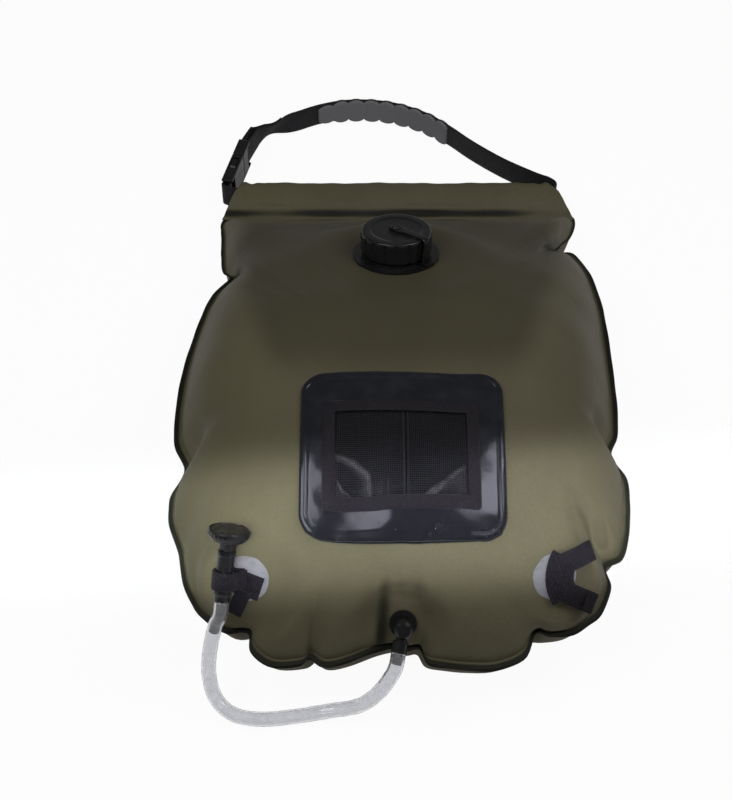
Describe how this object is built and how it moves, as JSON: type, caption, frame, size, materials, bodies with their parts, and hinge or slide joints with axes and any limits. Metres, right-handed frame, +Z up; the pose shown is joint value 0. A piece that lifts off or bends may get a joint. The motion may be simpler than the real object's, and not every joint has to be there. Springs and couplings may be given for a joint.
{
  "type": "camp shower bag",
  "caption": "Soft camp shower bag lying filled, with a screw filler cap, front net pocket, carry handle with buckle, clear hose and pull-open spray head.",
  "frame": {"origin": "centre of the flat area of the back panel that the filled bag lies on", "axes": "+X across the bag to the right seen from the foot, +Y from the foot with the outlet to the head with the handle, +Z up out of the front panel"},
  "size_m": [0.3604, 0.6899, 0.1539],
  "materials": {
    "olive_fabric": "coated woven fabric, satin",
    "black_webbing": "woven webbing, matte",
    "black_plastic": "moulded, satin",
    "grip_rubber": "moulded, matte",
    "gloss_film": "glossy vinyl film",
    "net": "knitted net, matte",
    "lilac_vinyl": "vinyl patch, satin",
    "seal_rubber": "moulded, matte",
    "clear_hose": "clear soft tube",
    "rod_metal": "drawn tube"
  },
  "bodies": {
    "bag": {"front_panel": "olive_fabric", "back_panel": "olive_fabric", "rod_sleeve": "olive_fabric", "support_rod": "rod_metal", "sleeve_webbing": "black_webbing", "filler_neck": "black_plastic", "tether_ring": "black_plastic", "tether_strap": "black_plastic", "pocket_back": "gloss_film", "pocket_frame": "gloss_film", "pocket_border": "black_webbing", "pocket_net_left": "net", "pocket_net_right": "net", "strap_disc_left": "lilac_vinyl", "strap_disc_right": "lilac_vinyl", "right_strap_base": "black_webbing", "left_strap_base": "black_webbing", "left_strap_wrap": "black_webbing", "outlet_flange": "black_plastic", "outlet_nut": "black_plastic", "outlet_washer": "seal_rubber", "outlet_elbow": "black_plastic", "hose": "clear_hose", "valve_barrel": "black_plastic"},
    "handle": {"handle_webbing": "black_webbing", "handle_grip": "grip_rubber", "buckle_webbing": "black_webbing", "buckle_socket": "black_plastic", "buckle_plug": "black_plastic"},
    "upper_prong": {"buckle_prong_upper": "black_plastic"},
    "lower_prong": {"buckle_prong_lower": "black_plastic"},
    "tether_hub": {"tether_button": "black_plastic"},
    "cap": {"filler_cap": "black_plastic", "cap_seal": "seal_rubber"},
    "shower_head": {"spray_head": "black_plastic", "spray_plate": "black_plastic", "valve_stem": "black_plastic", "stem_seal": "seal_rubber"},
    "right_upper_arm": {"right_strap_upper_arm": "black_webbing"},
    "right_lower_arm": {"right_strap_lower_arm": "black_webbing"},
    "left_tail": {"left_strap_tail": "black_webbing"}
  },
  "joints": [
    {"name": "handle_swing", "type": "hinge", "parent": "bag", "child": "handle", "pos_m": [0, 0.2865, 0.0165], "axis": [1, 0, 0], "range_deg": [0, 75]},
    {"name": "prong_upper_press", "type": "hinge", "parent": "handle", "child": "upper_prong", "pos_m": [-0.14867, 0.32884, 0.0245], "axis": [0.9724, -0.2334, 0], "range_deg": [0, 7], "stiffness_Nm_per_rad": 0.8},
    {"name": "prong_lower_press", "type": "hinge", "parent": "handle", "child": "lower_prong", "pos_m": [-0.14867, 0.32884, 0.0085], "axis": [-0.9724, 0.2334, 0], "range_deg": [0, 7], "stiffness_Nm_per_rad": 0.8},
    {"name": "cap_lift", "type": "slide", "parent": "bag", "child": "tether_hub", "axis": [0, 0.2924, 0.9563], "range_m": [0, 0.045], "deforming": ["tether_strap"]},
    {"name": "cap_turn", "type": "hinge", "parent": "tether_hub", "child": "cap", "pos_m": [0, 0.103, 0.12304], "axis": [0, 0.2924, 0.9563], "range_deg": [0, 540]},
    {"name": "head_pull", "type": "slide", "parent": "bag", "child": "shower_head", "axis": [0.1182, 0.6079, 0.7852], "range_m": [0, 0.006]},
    {"name": "right_upper_arm_lift", "type": "hinge", "parent": "bag", "child": "right_upper_arm", "pos_m": [0.11391, -0.19888, 0.09926], "axis": [0.357, -0.5857, -0.7276], "range_deg": [0, 70]},
    {"name": "right_lower_arm_lift", "type": "hinge", "parent": "bag", "child": "right_lower_arm", "pos_m": [0.11391, -0.21035, 0.0881], "axis": [-0.5051, -0.7198, -0.4762], "range_deg": [0, 70]},
    {"name": "left_tail_lift", "type": "hinge", "parent": "bag", "child": "left_tail", "pos_m": [-0.11293, -0.20677, 0.08994], "axis": [-0.8917, 0.3907, 0.2287], "range_deg": [0, 20]}
  ]
}
